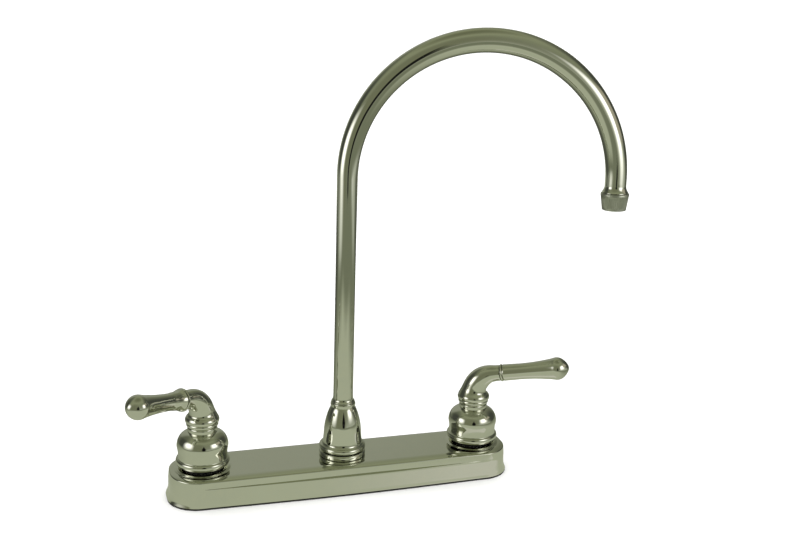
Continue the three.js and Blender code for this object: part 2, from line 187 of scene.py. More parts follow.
def revolve_bm(profile, segs, place, closed=False, radial=None):
    """Turns a profile of (r, s) about its own axis; radial(r, s, angle) may change the radius."""
    profile = tidy(profile)
    bm = bmesh.new()
    uv = bm.loops.layers.uv.new("UVMap")
    rings = []
    for r, s in profile:
        if r < 1e-5:
            rings.append([bm.verts.new(place(0.0, 0.0, s))])
            continue
        ring = []
        for i in range(segs):
            a = TAU * i / segs
            rr = radial(r, s, a) if radial else r
            ring.append(bm.verts.new(place(rr * math.cos(a), rr * math.sin(a), s)))
        rings.append(ring)
    lengths = [0.0]
    for p, q in zip(profile, profile[1:]):
        lengths.append(lengths[-1] + math.hypot(q[0] - p[0], q[1] - p[1]))
    pairs = list(zip(range(len(rings) - 1), range(1, len(rings))))
    if closed:
        pairs.append((len(rings) - 1, 0))
    for i, j in pairs:
        a, b = rings[i], rings[j]
        va = lengths[i] * 0.01
        vb = (lengths[j] if j > i else lengths[i] + 1) * 0.01
        for k in range(segs):
            m = (k + 1) % segs
            u0, u1 = k / segs, (k + 1) / segs
            if len(a) == 1 and len(b) == 1:
                continue
            if len(a) == 1:
                vs, uvs = [a[0], b[m], b[k]], [(u0, va), (u1, vb), (u0, vb)]
            elif len(b) == 1:
                vs, uvs = [a[k], a[m], b[0]], [(u0, va), (u1, va), (u0, vb)]
            else:
                vs, uvs = [a[k], a[m], b[m], b[k]], [(u0, va), (u1, va), (u1, vb), (u0, vb)]
            f = bm.faces.new(vs)
            for loop, c in zip(f.loops, uvs):
                loop[uv].uv = c
    return bm


def revolve(name, profile, segs, place, closed=False, radial=None, sharp_deg=32.0):
    return make_object(name, revolve_bm(profile, segs, place, closed, radial), sharp_deg)


def settle(ob, body, slot, material, *nodes):
    ob.data.materials.clear()
    ob.data.materials.append(material)
    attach(ob, body)
    if nodes:
        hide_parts(*nodes)
    return ob


# ------------------------------------------------------------------- materials
class Graph:
    """A small helper for building one node material."""

    def __init__(self, name):
        self.mat = bpy.data.materials.new(name)
        self.mat.use_nodes = True
        self.nt = self.mat.node_tree
        self.nt.nodes.clear()
        self.out = self.nt.nodes.new("ShaderNodeOutputMaterial")
        self.bsdf = self.nt.nodes.new("ShaderNodeBsdfPrincipled")
        self.nt.links.new(self.bsdf.outputs[0], self.out.inputs[0])

    def node(self, kind, **props):
        n = self.nt.nodes.new(kind)
        for k, v in props.items():
            setattr(n, k, v)
        return n

    def link(self, a, b):
        self.nt.links.new(a, b)

    def coords(self, which="Object", scale=(1, 1, 1)):
        tc = self.node("ShaderNodeTexCoord")
        mp = self.node("ShaderNodeMapping")
        mp.inputs["Scale"].default_value = scale
        self.link(tc.outputs[which], mp.inputs["Vector"])
        return mp.outputs[0]

    def noise(self, vec, scale, detail=2.0, rough=0.5):
        n = self.node("ShaderNodeTexNoise")
        n.inputs["Scale"].default_value = scale
        n.inputs["Detail"].default_value = detail
        n.inputs["Roughness"].default_value = rough
        self.link(vec, n.inputs["Vector"])
        return n.outputs[0]

    def remap(self, value, lo, hi, frm=(0.3, 0.7)):
        m = self.node("ShaderNodeMapRange")
        m.inputs["From Min"].default_value, m.inputs["From Max"].default_value = frm
        m.inputs["To Min"].default_value, m.inputs["To Max"].default_value = lo, hi
        self.link(value, m.inputs["Value"])
        return m.outputs[0]

    def math(self, op, a, b):
        m = self.node("ShaderNodeMath", operation=op)
        for i, v in enumerate((a, b)):
            if isinstance(v, (int, float)):
                m.inputs[i].default_value = v
            else:
                self.link(v, m.inputs[i])
        return m.outputs[0]

    def mix(self, fac, a, b):
        m = self.node("ShaderNodeMix", data_type="RGBA")
        if isinstance(fac, (int, float)):
            m.inputs[0].default_value = fac
        else:
            self.link(fac, m.inputs[0])
        for i, v in ((6, a), (7, b)):
            if isinstance(v, tuple):
                m.inputs[i].default_value = (*v, 1.0)
            else:
                self.link(v, m.inputs[i])
        return m.outputs[2]

    def bump(self, height, distance, strength=1.0, normal=None):
        b = self.node("ShaderNodeBump")
        b.inputs["Strength"].default_value = strength
        b.inputs["Distance"].default_value = distance
        self.link(height, b.inputs["Height"])
        if normal is not None:
            self.link(normal, b.inputs["Normal"])
        return b.outputs[0]


# The base colour tint is partly the chrome's own colour and partly painted reflection: the olive grey of the room that
# the chrome mirrors is put into it.
def chrome_material(name, chrome_and_room_tint=(0.74, 0.755, 0.675), rough=(0.03, 0.07)):
    g = Graph(name)
    obj = g.coords()
    smear = g.noise(obj, 38.0, 4.0, 0.6)
    grain = g.noise(obj, 1500.0, 2.0, 0.5)
    spots = g.noise(obj, 210.0, 3.0, 0.65)
    r = g.remap(smear, rough[0], rough[1])
    r = g.math("ADD", r, g.remap(spots, 0.0, 0.03, (0.62, 0.78)))
    r = g.math("ADD", r, g.remap(grain, -0.004, 0.004))
    g.link(r, g.bsdf.inputs["Roughness"])
    darker = tuple(c * 0.955 for c in chrome_and_room_tint)
    warm = (chrome_and_room_tint[0] * 1.015, chrome_and_room_tint[1], chrome_and_room_tint[2] * 0.975)
    tone = g.mix(g.remap(g.noise(obj, 22.0, 3.0), 0.0, 1.0), chrome_and_room_tint, darker)
    tone = g.mix(g.remap(spots, 0.0, 0.6), tone, warm)
    g.link(tone, g.bsdf.inputs["Base Color"])
    g.bsdf.inputs["Metallic"].default_value = 1.0
    wave = g.bump(g.noise(obj, 55.0, 2.0), 0.000016)
    g.link(g.bump(grain, 0.0000012, 1.0, wave), g.bsdf.inputs["Normal"])
    return g.mat


def satin_material(name):
    g = Graph(name)
    obj = g.coords()
    fine = g.noise(g.coords(scale=(1, 1, 0.12)), 2600.0, 3.0)
    g.link(g.remap(fine, 0.30, 0.46), g.bsdf.inputs["Roughness"])
    tone = g.mix(g.remap(g.noise(obj, 260.0, 3.0), 0.0, 1.0), (0.52, 0.54, 0.46), (0.44, 0.455, 0.39))
    g.link(tone, g.bsdf.inputs["Base Color"])
    g.bsdf.inputs["Metallic"].default_value = 1.0
    g.link(g.bump(fine, 0.000006), g.bsdf.inputs["Normal"])
    return g.mat


def turned_metal(name, a, b, rough=(0.24, 0.4), pitch=0.0007):
    """Machined metal: faint turning rings about the part's own upright axis, with a little tarnish."""
    g = Graph(name)
    obj = g.coords()
    rings = g.node("ShaderNodeTexWave", wave_type="BANDS", bands_direction="Z")
    rings.inputs["Scale"].default_value = 0.314 / pitch
    rings.inputs["Distortion"].default_value = 0.6
    g.link(obj, rings.inputs["Vector"])
    tarnish = g.noise(obj, 95.0, 5.0, 0.6)
    g.link(g.mix(g.remap(tarnish, 0.0, 1.0, (0.35, 0.65)), a, b), g.bsdf.inputs["Base Color"])
    g.link(g.remap(tarnish, rough[0], rough[1]), g.bsdf.inputs["Roughness"])
    g.bsdf.inputs["Metallic"].default_value = 1.0
    g.link(g.bump(rings.outputs["Fac"], 0.000012), g.bsdf.inputs["Normal"])
    return g.mat


def plain_material(name, a, b, rough, scale=400.0, height=0.00003, spec=0.5):
    g = Graph(name)
    obj = g.coords()
    n = g.noise(obj, scale, 5.0, 0.6)
    g.link(g.mix(g.remap(n, 0.0, 1.0), a, b), g.bsdf.inputs["Base Color"])
    g.link(g.remap(n, rough[0], rough[1]), g.bsdf.inputs["Roughness"])
    g.bsdf.inputs["Specular IOR Level"].default_value = spec
    g.link(g.bump(n, height), g.bsdf.inputs["Normal"])
    return g.mat


CHROME = chrome_material("polished_chrome")
SATIN = satin_material("satin_ring")
BRASS = turned_metal("machined_brass", (0.66, 0.49, 0.21), (0.50, 0.35, 0.14))
COPPER = turned_metal("drawn_copper", (0.72, 0.36, 0.22), (0.52, 0.24, 0.14), (0.22, 0.38), 0.004)
STEEL = turned_metal("zinc_steel", (0.60, 0.61, 0.60), (0.47, 0.48, 0.47), (0.28, 0.42), 0.0011)
RUBBER = plain_material("black_rubber", (0.012, 0.012, 0.012), (0.03, 0.03, 0.028), (0.5, 0.72), 700.0, 0.00004, 0.35)
CERAMIC = plain_material("white_ceramic", (0.82, 0.81, 0.77), (0.75, 0.74, 0.70), (0.12, 0.22), 900.0, 0.000004)
# Black nylon; on the nut under each bell its black also stands in for the shade in the gap under the bell rim (painted
# shade).
BLACK_NYLON_AND_SHADE = plain_material("black_nylon", (0.012, 0.012, 0.013), (0.022, 0.022, 0.022), (0.38, 0.5), 600.0, 0.00002)
NYLON = plain_material("natural_nylon", (0.72, 0.70, 0.63), (0.64, 0.62, 0.55), (0.42, 0.56), 500.0, 0.00002)
SLOT_LOOK = {
    "chrome_plate": CHROME, "satin_plate": SATIN, "brass": BRASS, "copper_tube": COPPER,
    "zinc_steel": STEEL, "rubber": RUBBER, "ceramic": CERAMIC, "nylon": NYLON, "black_nylon": BLACK_NYLON_AND_SHADE,
}
node_slot = {s["node"]: s["material_slot"] for s in frame["record"]["subparts"]}
for node, ob in frame["nodes"].items():
    look = SLOT_LOOK[node_slot[node]]
    ob.data.materials.clear()
    ob.data.materials.append(look)
    bm = bmesh.new()
    bm.from_mesh(ob.data)
    for f in bm.faces:
        f.smooth = True
    for e in bm.edges:
        e.smooth = not (len(e.link_faces) == 2 and e.calc_face_angle(0.0) > math.radians(35))
    bm.to_mesh(ob.data)
    bm.free()


# ------------------------------------------------------------------ base plate
def base_frame():
    """Plan points of the foot outline: centre of curvature (cx, cy), outward direction (nx, ny) and share of the bow."""
    lx, ly = BASE_HALF_L - BASE_CORNER, BASE_HALF_W - BASE_CORNER
    straight = [-lx + 2 * lx * k / 34 for k in range(1, 34)]
    arc = 30
    pts = []
    for x in [-lx] + straight:                                # front side, towards -Y
        pts.append((x, -ly, 0.0, -1.0, max(0.0, 1 - (x / lx) ** 2) ** 1.4))
    for k in range(arc):
        a = -math.pi / 2 + math.pi / 2 * k / arc
        pts.append((lx, -ly, math.cos(a), math.sin(a), 0.0))
    for y in (-ly, 0.0):
        pts.append((lx, y, 1.0, 0.0, 0.0))
    for k in range(arc):
        a = math.pi / 2 * k / arc
        pts.append((lx, ly, math.cos(a), math.sin(a), 0.0))
    for x in [-lx] + straight:
        pts.append((-x, ly, 0.0, 1.0, 0.0))
    for k in range(arc):
        a = math.pi / 2 + math.pi / 2 * k / arc
        pts.append((-lx, ly, math.cos(a), math.sin(a), 0.0))
    for y in (ly, 0.0):
        pts.append((-lx, y, -1.0, 0.0, 0.0))
    for k in range(arc):
        a = math.pi + math.pi / 2 * k / arc
        pts.append((-lx, -ly, math.cos(a), math.sin(a), 0.0))
    return pts


def base_point(p, front, back, end, bow, z):
    cx, cy, nx, ny, share = p
    r = BASE_CORNER - (ny * ny * (front if ny < 0 else back) + nx * nx * end)
    return Vector((cx + nx * r, cy + ny * r - bow * share, z)) * MM


def base_levels():
    """Outer section, level by level: insets at the front, back and ends, bow of the front, height."""
    out = [(0.2, 0.5, 0.2, BASE_BOW, 1.3)]
    foot = curve([(0.0, 1.55), (0.15, 2.3), (0.4, 3.6), (0.6, 5.0), (0.71, 6.6), (0.78, 8.5), (0.83, 11.0), (0.86, 14.0)], 0.6)
    for i, z in foot:
        k = min(1.0, (z - 1.55) / 6.4)
        out.append((i, i + 0.2 + 0.1 * k, i + 1.1 * math.sin(k * math.pi / 2), BASE_BOW, z))
    for z, b in ((14.45, 1.9), (14.62, 1.86), (14.72, 1.74), (14.8, 1.45), (14.88, 0.95), (14.96, 0.45), (15.03, 0.1), (15.1, 0.0), (15.3, 0.0)):
        k = (z - 14.0) / 1.3
        out.append((0.86 + 0.1 * k, 1.16 + 0.14 * k, 1.96 + 0.09 * k, b, z))
    for k in range(1, 9):
        t = k / 8
        out.append((0.96 + 0.12 * t, 1.3 + 0.16 * t, 2.05 + 0.4 * t, 0.0, 15.3 + 4.1 * t))
    edge = curve([(0.0, 19.4), (0.04, 19.62), (0.15, 19.86), (0.34, 20.07), (0.62, 20.22), (1.1, 20.38), (1.8, 20.58), (2.8, 20.83), (4.0, 21.07),
                  (5.2, 21.25), (6.3, 21.36), (7.2, 21.4)], 0.25)
    for d, z in edge[1:]:
        out.append((1.08 + d, 1.46 + d, 2.45 + d, 0.0, z))
    return out


def base_plate():
    plan = base_frame()
    bm = bmesh.new()

    def loop_of(front, back, end, bow, z):
        lp = []
        for p in plan:
            co = base_point(p, front, back, end, bow, z)
            lp.append(bm.verts.new(co))
        return lp

    def bridge(a, b):
        for k in range(len(a)):
            m = (k + 1) % len(a)
            bm.faces.new([a[k], a[m], b[m], b[k]])

    outer = [loop_of(*lv) for lv in base_levels()]
    inner = [loop_of(*lv) for lv in (
        (2.2, 2.4, 2.2, BASE_BOW, 1.3), (2.6, 2.8, 3.2, BASE_BOW, 3.6), (3.05, 3.3, 4.1, BASE_BOW, 11.5), (3.1, 3.4, 4.2, 0.0, 13.3),
        (3.25, 3.6, 4.6, 0.0, 17.2), (3.7, 4.1, 5.1, 0.0, 18.3), (4.6, 5.0, 6.0, 0.0, 19.0), (5.8, 6.2, 7.2, 0.0, 19.2))]
    for a, b in zip(outer, outer[1:]):
        bridge(a, b)
    for a, b in zip(inner, inner[1:]):
        bridge(a, b)
    bridge(outer[0], inner[0])
    N = 96

    def circle(x, r, z):
        return [bm.verts.new(Vector((x + r * math.cos(TAU * k / N), r * math.sin(TAU * k / N), z)) * MM) for k in range(N)]

    def cap(boundary, rings):
        edges = []
        for lp in [boundary] + rings:
            for k in range(len(lp)):
                a, b = lp[k], lp[(k + 1) % len(lp)]
                edges.append(bm.edges.get((a, b)) or bm.edges.new((a, b)))
        bmesh.ops.triangle_fill(bm, use_beauty=True, use_dissolve=False, edges=edges)

    spots = (-HX, 0.0, HX)
    top = [circle(x, 10.9, BASE_TOP) for x in spots]
    under = [circle(x, 10.9, 19.2) for x in spots]
    cap(outer[-1], top)
    cap(inner[-1], under)
    for a, b in zip(top, under):
        bridge(a, b)
    # the raised seat under each bell, let into the top
    for x in (-HX, HX):
        seat = [circle(x, r, z) for r, z in ((10.95, 20.5), (20.0, 20.5), (20.0, 21.38), (19.75, 21.44), (19.45, 21.54), (18.9, 21.8), (18.3, 22.1),
                                             (17.8, 22.31), (17.3, SEAT_TOP), (10.95, SEAT_TOP))]
        for a, b in zip(seat, seat[1:] + seat[:1]):
            bridge(a, b)
    return make_object("base_shell", bm, 30)


settle(base_plate(), "faucet_body", "chrome_plate", CHROME, "base_plate")


def base_gasket():
    bm = bmesh.new()
    plan = base_frame()
    section = [(0.9, 0.0), (0.35, 0.12), (0.2, 0.45), (0.3, 0.85), (0.9, 1.0)]
    loops = []
    for inset, z in section:
        lp = []
        for p in plan:
            lp.append(bm.verts.new(base_point(p, inset, inset + 0.2, inset, BASE_BOW, z)))
        loops.append(lp)
    for a, b in zip(loops, loops[1:]):
        for k in range(len(a)):
            m = (k + 1) % len(a)
            bm.faces.new([a[k], a[m], b[m], b[k]])
    holes = []
    for boundary, z in ((loops[0], 0.0), (loops[-1], 1.0)):
        rings = []
        edges = [bm.edges.get((boundary[k], boundary[(k + 1) % len(boundary)])) for k in range(len(boundary))]
        for x in (-HX, HX):
            ring = [bm.verts.new(Vector((x + 14.0 * math.cos(TAU * k / 48), 14.0 * math.sin(TAU * k / 48), z)) * MM) for k in range(48)]
            edges += [bm.edges.new((ring[k], ring[(k + 1) % 48])) for k in range(48)]
            rings.append(ring)
        bmesh.ops.triangle_fill(bm, use_beauty=True, use_dissolve=False, edges=edges)
        holes.append(rings)
    for a, b in zip(*holes):
        for k in range(48):
            m = (k + 1) % 48
            bm.faces.new([a[k], a[m], b[m], b[k]])
    return make_object("base_seal", bm, 40)


settle(base_gasket(), "faucet_body", "rubber", RUBBER, "base_gasket")

# ------------------------------------------------------------- spout foot, nut
foot_ring = rounded([
    (10.7, 21.7, 0), (16.7, 21.7, 0.25), (16.95, 22.2, 0.4), (16.95, 24.2, 0.9), (16.35, 25.1, 0.9), (15.2, 25.35, 0.4), (14.6, 25.3, 0.2),
    (14.6, 24.3, 0.1), (10.7, 24.3, 0)], 6)
settle(revolve("spout_foot_ring", foot_ring, 96, upright(), closed=True), "faucet_body", "chrome_plate", CHROME, "spout_base_ring")
glide = rounded([(10.7, 24.6, 0), (14.2, 24.6, 0.15), (14.3, 25.3, 0.1), (14.2, 26.0, 0.15), (10.7, 26.0, 0)], 4)
settle(revolve("spout_glide_band", glide, 96, upright(), closed=True), "faucet_body", "black_nylon", BLACK_NYLON_AND_SHADE, "spout_glide_ring")

nut = [(10.6, 26.3), (15.8, 26.3)]
nut += curve([(15.8, 26.3), (16.4, 26.5), (16.84, 27.1), (16.97, 27.9), (16.88, 28.7), (16.55, 29.4), (16.0, 29.95), (15.45, 30.25)], 0.2)
nut += curve([(15.4, 30.3), (14.85, 30.75), (14.5, 31.4), (14.22, 32.6), (14.02, 34.0), (13.84, 35.8), (13.66, 38.4), (13.5, 41), (12.95, 45.6), (11.9, 50.2),
              (10.5, 54.6), (9.2, 57.6), (8.62, 58.6)], 0.4)
nut += curve([(8.62, 58.6), (8.86, 58.95), (9.0, 59.7), (9.0, 60.9), (8.8, 61.6), (8.4, 61.9)], 0.2)
nut += [(7.7, 61.9), (7.7, 45.2), (10.6, 45.2)]
settle(revolve("spout_collar", nut, 96, upright(), closed=True), "faucet_body", "chrome_plate", CHROME, "spout_nut")

# -------------------------------------------------------------------- gooseneck
radii = [(62.3, 8.5), (63.2, 7.9), (64.6, 7.4), (67.5, 7.2), (80, 7.16), (100, 7.1), (140, 7.05), (200, 7.05), (SPRING_Z, 7.3)]
radii += [(SPRING_Z + ARC_R * t, r) for t, r in ((0.3, 7.6), (0.7, 8.0), (1.2, 8.3), (1.7, 8.45), (2.2, 8.45), (2.7, 8.0), (3.0, 7.7))]
radii += [(S_END, 7.6), (S_END + 4.6, 7.6)]


def blend_radius(s):
    for (s0, r0), (s1, r1) in zip(radii, radii[1:]):
        if s <= s1:
            t = max(0.0, (s - s0) / (s1 - s0))
            return r0 + (r1 - r0) * t
    return radii[-1][1]


stops = [67.5 + (SPRING_Z - 67.5) * k / 26 for k in range(1, 27)] + [SPRING_Z + (S_END + 4.6 - SPRING_Z) * k / 130 for k in range(1, 131)]
raw = [(blend_radius(s), s) for s in stops]
smooth = []
for i, (r, s) in enumerate(raw):                         # even out the joins between the measured radii
    lo, hi = max(0, i - 4), min(len(raw), i + 5)
    smooth.append((sum(q[0] for q in raw[lo:hi]) / (hi - lo), s))
tube = [(7.0, 38.0), (7.0, 62.15)] + curve([(7.9, 62.2), (8.4, 62.25), (8.5, 62.5), (8.25, 62.95), (7.8, 63.5), (7.45, 64.4), (7.28, 65.6), (7.2, 67.2)], 0.2)
tube += smooth
tube += curve([(7.6, S_END + 5.0), (7.75, S_END + 6.2), (8.2, S_END + 7.5), (8.75, S_END + 8.6), (9.2, S_END + 9.3), (9.25, S_END + 9.6)], 0.3)
tube += [(6.2, S_END + 9.6), (6.2, S_END + 6.0), (5.9, S_END + 5.6)]
tube += [(5.9, SPRING_Z + (S_END - SPRING_Z) * (1 - k / 60)) for k in range(0, 61)] + [(5.9, 38.0)]
settle(revolve("spout_gooseneck", tube, 72, along_spout, closed=True), "spout", "chrome_plate", CHROME, "spout_tube")

# ---------------------------------------------------------------------- aerator
e = S_END
RIBS = 44


def ribbed(r, s, a):
    if not e + 12.2 < s < e + 21.2 or r < 8.0:
        return r
    depth = 0.28 * min(1.0, (s - e - 12.2) / 1.2, (e + 21.2 - s) / 1.2)
    return r - depth * (0.5 + 0.5 * math.cos(RIBS * a)) ** 1.5


shell = [(7.4, e + 9.95), (9.4, e + 9.95)] + curve([(9.4, e + 9.95), (9.8, e + 10.15), (10.0, e + 10.7), (10.0, e + 11.9), (9.9, e + 12.2)], 0.25)
shell += [(9.9 - 1.3 * k / 12, e + 12.2 + 9.0 * k / 12) for k in range(1, 13)]
shell += curve([(8.6, e + 21.4), (8.5, e + 21.9), (8.2, e + 22.15), (7.9, e + 22.2)], 0.2)
shell += [(6.7, e + 22.2), (6.5, e + 22.0), (6.5, e + 21.2), (7.4, e + 21.2)]
settle(revolve("aerator_ring", shell, RIBS * 6, along_spout, closed=True, radial=ribbed), "spout", "satin_plate", SATIN, "aerator_shell")


def aerator_mesh_screen():
    """A woven look screen: a square grid cut to the round opening, thickened into wires."""
    bm = bmesh.new()
    cell, rad = 0.95, 6.6
    n = int(rad / cell) + 1
    grid = {}

    def v(i, j):
        if (i, j) not in grid:
            x, y = i * cell, j * cell
            d = math.hypot(x, y)
            k = rad / d if d > rad else 1.0
            grid[(i, j)] = bm.verts.new(along_spout(x * k, y * k, e + 20.6))
        return grid[(i, j)]

    for i in range(-n, n):
        for j in range(-n, n):
            corners = [(i, j), (i + 1, j), (i + 1, j + 1), (i, j + 1)]
            if sum(math.hypot(a * cell, b * cell) <= rad for a, b in corners) >= 2:
                bm.faces.new([v(*c) for c in corners])
    ob = make_object("aerator_mesh", bm)
    w = ob.modifiers.new("wires", "WIREFRAME")
    w.thickness = 0.00026
    w.use_even_offset = False
    w.use_boundary = True
    return ob


settle(aerator_mesh_screen(), "spout", "zinc_steel", STEEL, "aerator_screen")


# ---------------------------------------------------------------------- handles
def build_handle(side, x0, turn, ring_r, flare):
    body = side + "_handle"
    up, bend = in_handle(x0, turn), along_elbow(x0, turn)
    bell = [(17.75, 25.0), (17.98, 25.03), (18.18, 25.1)]
    bell += [(15.45 + 3.5 * math.cos(math.radians(w)), 27.2 + 3.5 * math.sin(math.radians(w))) for w in range(-34, 31, 4)]
    bell += curve([(18.3, 29.12), (18.08, 29.32), (17.8, 29.45), (17.55, 29.62), (17.42, 29.95), (17.35, 30.6), (17.32, 31.4), (17.3, 33.0), (17.36, 34.2), (17.55, 35.6), (17.85, 37.1), (18.04, 38.5), (17.98, 39.8), (17.6, 41.7),
                   (17.0, 43.3), (16.15, 44.8), (14.9, 46.2), (13.3, 47.3), (11.6, 48.1), (10.3, 48.5)], 0.3)
    bell += curve([(10.05, 48.7), (10.3, 49.1), (10.45, 49.9), (10.45, 51.3), (10.25, 52.2), (9.8, 52.7)], 0.2)
    bell += [(5.3, 52.7), (5.3, 46.2), (12.8, 45.2), (15.0, 43.0), (15.7, 41.5), (15.5, 29.8), (16.2, 28.7), (16.9, 27.6)]
    settle(revolve(side + "_bell_shell", bell, 96, up, closed=True), body, "chrome_plate", CHROME, side + "_bell")

    hub = [(5.5, 8.0), (5.5, 0.0)] + curve([(10.3, 0.0), (10.9, 0.3), (11.2, 1.0), (11.2, 1.9), (11.0, 2.45)], 0.2)
    hub += curve([(11.0, 2.45), (11.45, 2.9), (11.8, 3.6), (11.95, 4.6), (11.75, 5.7), (11.2, 6.8), (10.4, 7.95), (9.65, 9.2), (9.15, 10.6), (8.85, 12.2),
                  (8.5, 16), (8.1, 20), (7.4, 24.5), (6.5, 29), (6.05, 32.5), (5.92, 35.6)], 0.4)
    hub += [(5.75, 36.0), (5.5, 36.1), (3.2, 36.1), (3.2, 31.2), (0.0, 31.2)]
    hub_ob = revolve(side + "_elbow_hub", hub, 80, bend)
    # close the bore at its upper end
    bm = bmesh.new()
    bm.from_mesh(hub_ob.data)
    edges = [ed for ed in bm.edges if len(ed.link_faces) == 1]
    bmesh.ops.holes_fill(bm, edges=edges, sides=0)
    bmesh.ops.recalc_face_normals(bm, faces=bm.faces)
    bm.to_mesh(hub_ob.data)
    bm.free()
    cutter = revolve(side + "_cutter", [(0, -15.0), (2.6, -15.0), (2.6, -3.0), (0, -3.0)], 40,
                     lambda px, py, s: turn_z(Vector((s, px, 57.6 + py)), turn, x0) * MM)
    mod = hub_ob.modifiers.new("screw_hole", "BOOLEAN")
    mod.operation, mod.object, mod.solver = "DIFFERENCE", cutter, "EXACT"
    bpy.context.view_layer.update()
    dg = bpy.context.evaluated_depsgraph_get()
    cut_mesh = bpy.data.meshes.new_from_object(hub_ob.evaluated_get(dg))
    hub_ob.modifiers.clear()
    hub_ob.data = cut_mesh
    bpy.data.objects.remove(cutter)
    bm = bmesh.new()
    bm.from_mesh(cut_mesh)
    for f in bm.faces:
        f.smooth = True
    for ed in bm.edges:
        ed.smooth = not (len(ed.link_faces) == 2 and ed.calc_face_angle(0.0) > math.radians(32))
    bm.to_mesh(cut_mesh)
    bm.free()
    settle(hub_ob, body, "chrome_plate", CHROME, side + "_handle_hub")

    # socket set screw: hexagon recess in its outer end
    def screw_place(px, py, s):
        return turn_z(Vector((s, px, 57.6 + py)), turn, x0) * MM

    hexr = lambda a: 1.15 / math.cos((a + math.pi / 6) % (math.pi / 3) - math.pi / 6)
    prof = [(0.0, -9.2), (1.15, -9.2), (1.15, -11.3), (1.35, -11.4), (2.0, -11.4), (2.2, -11.1)]
    prof += [(2.2 - (0.22 if k % 2 else 0.0), -11.0 + 0.35 * k) for k in range(0, 15)] + [(2.0, -5.7), (0.0, -5.7)]
    settle(revolve(side + "_socket_screw", prof, 48, screw_place,
                   radial=lambda r, s, a: hexr(a) if abs(r - 1.15) < 1e-6 else r),
           body, "zinc_steel", STEEL, side + "_set_screw")

    L = LEVER_S0
    ring = rounded([(3.4, L - 0.8, 0), (ring_r - 0.45, L - 0.8, 0.3), (ring_r, L - 0.35, 0.4), (ring_r, L + 0.35, 0.4),
                    (ring_r - 0.45, L + 0.8, 0.3), (3.4, L + 0.8, 0)], 5)
    settle(revolve(side + "_trim_ring", ring, 72, bend, closed=True), body, "chrome_plate", CHROME, side + "_lever_ring")

    f = flare
    lever = [(0.0, L - 5.9), (2.6, L - 5.9), (2.8, L - 5.7), (2.8, L + 1.1), (f - 0.35, L + 1.1)]
    lever += curve([(f - 0.2, L + 1.2), (f, L + 1.7), (f - (f - 6.05) * 0.28, L + 3.1), (f - (f - 6.05) * 0.6, L + 5.0), (6.05 + (f - 6.05) * 0.17, L + 9),
                    (6.0, L + 12), (5.98, L + 15), (6.1, L + 19.5), (6.4, L + 25), (6.85, L + 30), (7.35, L + 34.5), (7.85, L + 37.8), (8.3, L + 40.1),
                    (8.38, L + 41.4), (8.15, L + 43.1), (7.45, L + 44.8), (6.35, L + 46.4), (4.95, L + 47.8), (3.5, L + 48.9), (2.2, L + 49.6), (1.1, L + 50.0), (0.0, L + 50.1)], 0.3)
    settle(revolve(side + "_lever_arm", lever, 80, bend), body, "chrome_plate", CHROME, side + "_lever")


build_handle("hot", -HX, HOT_TURN, 8.1, 7.7)
build_handle("cold", HX, COLD_TURN, 6.5, 6.15)


# ------------------------------------------------------------------ under the deck
def threaded_body(side, x0):
    """The valve body with the thread of its shank as real turns, and the side port towards the centre."""
    pitch, root, crest = 1.814, 9.35, 10.3
    prof = [(6.4, 8.0), (6.4, -45.4), (6.8, -46.0), (9.2, -46.0)]
    z = -45.6
    while z < 1.0:
        prof.append((10.3, z))
        z += pitch / 8
    prof += [(10.3, 1.4), (10.3, 3.2), (13.6, 3.2), (14.0, 3.6), (14.0, 18.5), (13.6, 18.9), (10.2, 18.9), (10.2, 33.0), (8.1, 33.0), (8.1, 8.0)]

    def thread(r, s, a):
        if abs(r - 10.3) > 1e-6 or s > 1.1:
            return r
        t = (s / pitch - a / TAU) % 1.0
        v = min(1.0, abs(t - 0.5) * 2 * 1.35)
        fade = max(0.0, min(1.0, (1.0 - s) / 2.0))
        return crest - (crest - root) * (1 - v) * fade

    ob = revolve(side + "_threaded_body", prof, 48, upright(x0), closed=True, radial=thread, sharp_deg=38)
    sgn = 1.0 if x0 < 0 else -1.0
    cutter = revolve(side + "_port", [(0, 3.0), (4.5, 3.0), (4.5, 20.0), (0, 20.0)], 32,
                     lambda px, py, s: Vector((x0 + sgn * s, px, 12.0 + py)) * MM)
    mod = ob.modifiers.new("port", "BOOLEAN")
    mod.operation, mod.object, mod.solver = "DIFFERENCE", cutter, "EXACT"
    bpy.context.view_layer.update()
    dg = bpy.context.evaluated_depsgraph_get()
    me = bpy.data.meshes.new_from_object(ob.evaluated_get(dg))
    ob.modifiers.clear()
    ob.data = me
    bpy.data.objects.remove(cutter)
    bm = bmesh.new()
    bm.from_mesh(me)
    for f in bm.faces:
        f.smooth = True
    for ed in bm.edges:
        ed.smooth = not (len(ed.link_faces) == 2 and ed.calc_face_angle(0.0) > math.radians(38))
    bm.to_mesh(me)
    bm.free()
    return settle(ob, "faucet_body", "brass", BRASS, side + "_valve_body")


def hex_nut(name, x0, flats, bore, z0, z1):
    """A hexagon nut with its corners turned off at both faces."""
    def radial(r, s, a):
        if r < flats / 2 - 0.01:
            return r
        edge = flats / 2 / math.cos((a + math.pi / 6) % (math.pi / 3) - math.pi / 6)
        return min(edge, r)

    far = flats / math.sqrt(3)
    c = (far - flats / 2) * 0.85
    prof = [(bore, z0 + 0.5), (bore + 0.5, z0), (flats / 2 - 0.05, z0), (far - c, z0), (far, z0 + c * 0.55), (far, z1 - c * 0.55), (far - c, z1),
            (flats / 2 - 0.05, z1), (bore + 0.5, z1), (bore, z1 - 0.5)]
    return revolve(name, prof, 96, upright(x0), closed=True, radial=radial, sharp_deg=20)


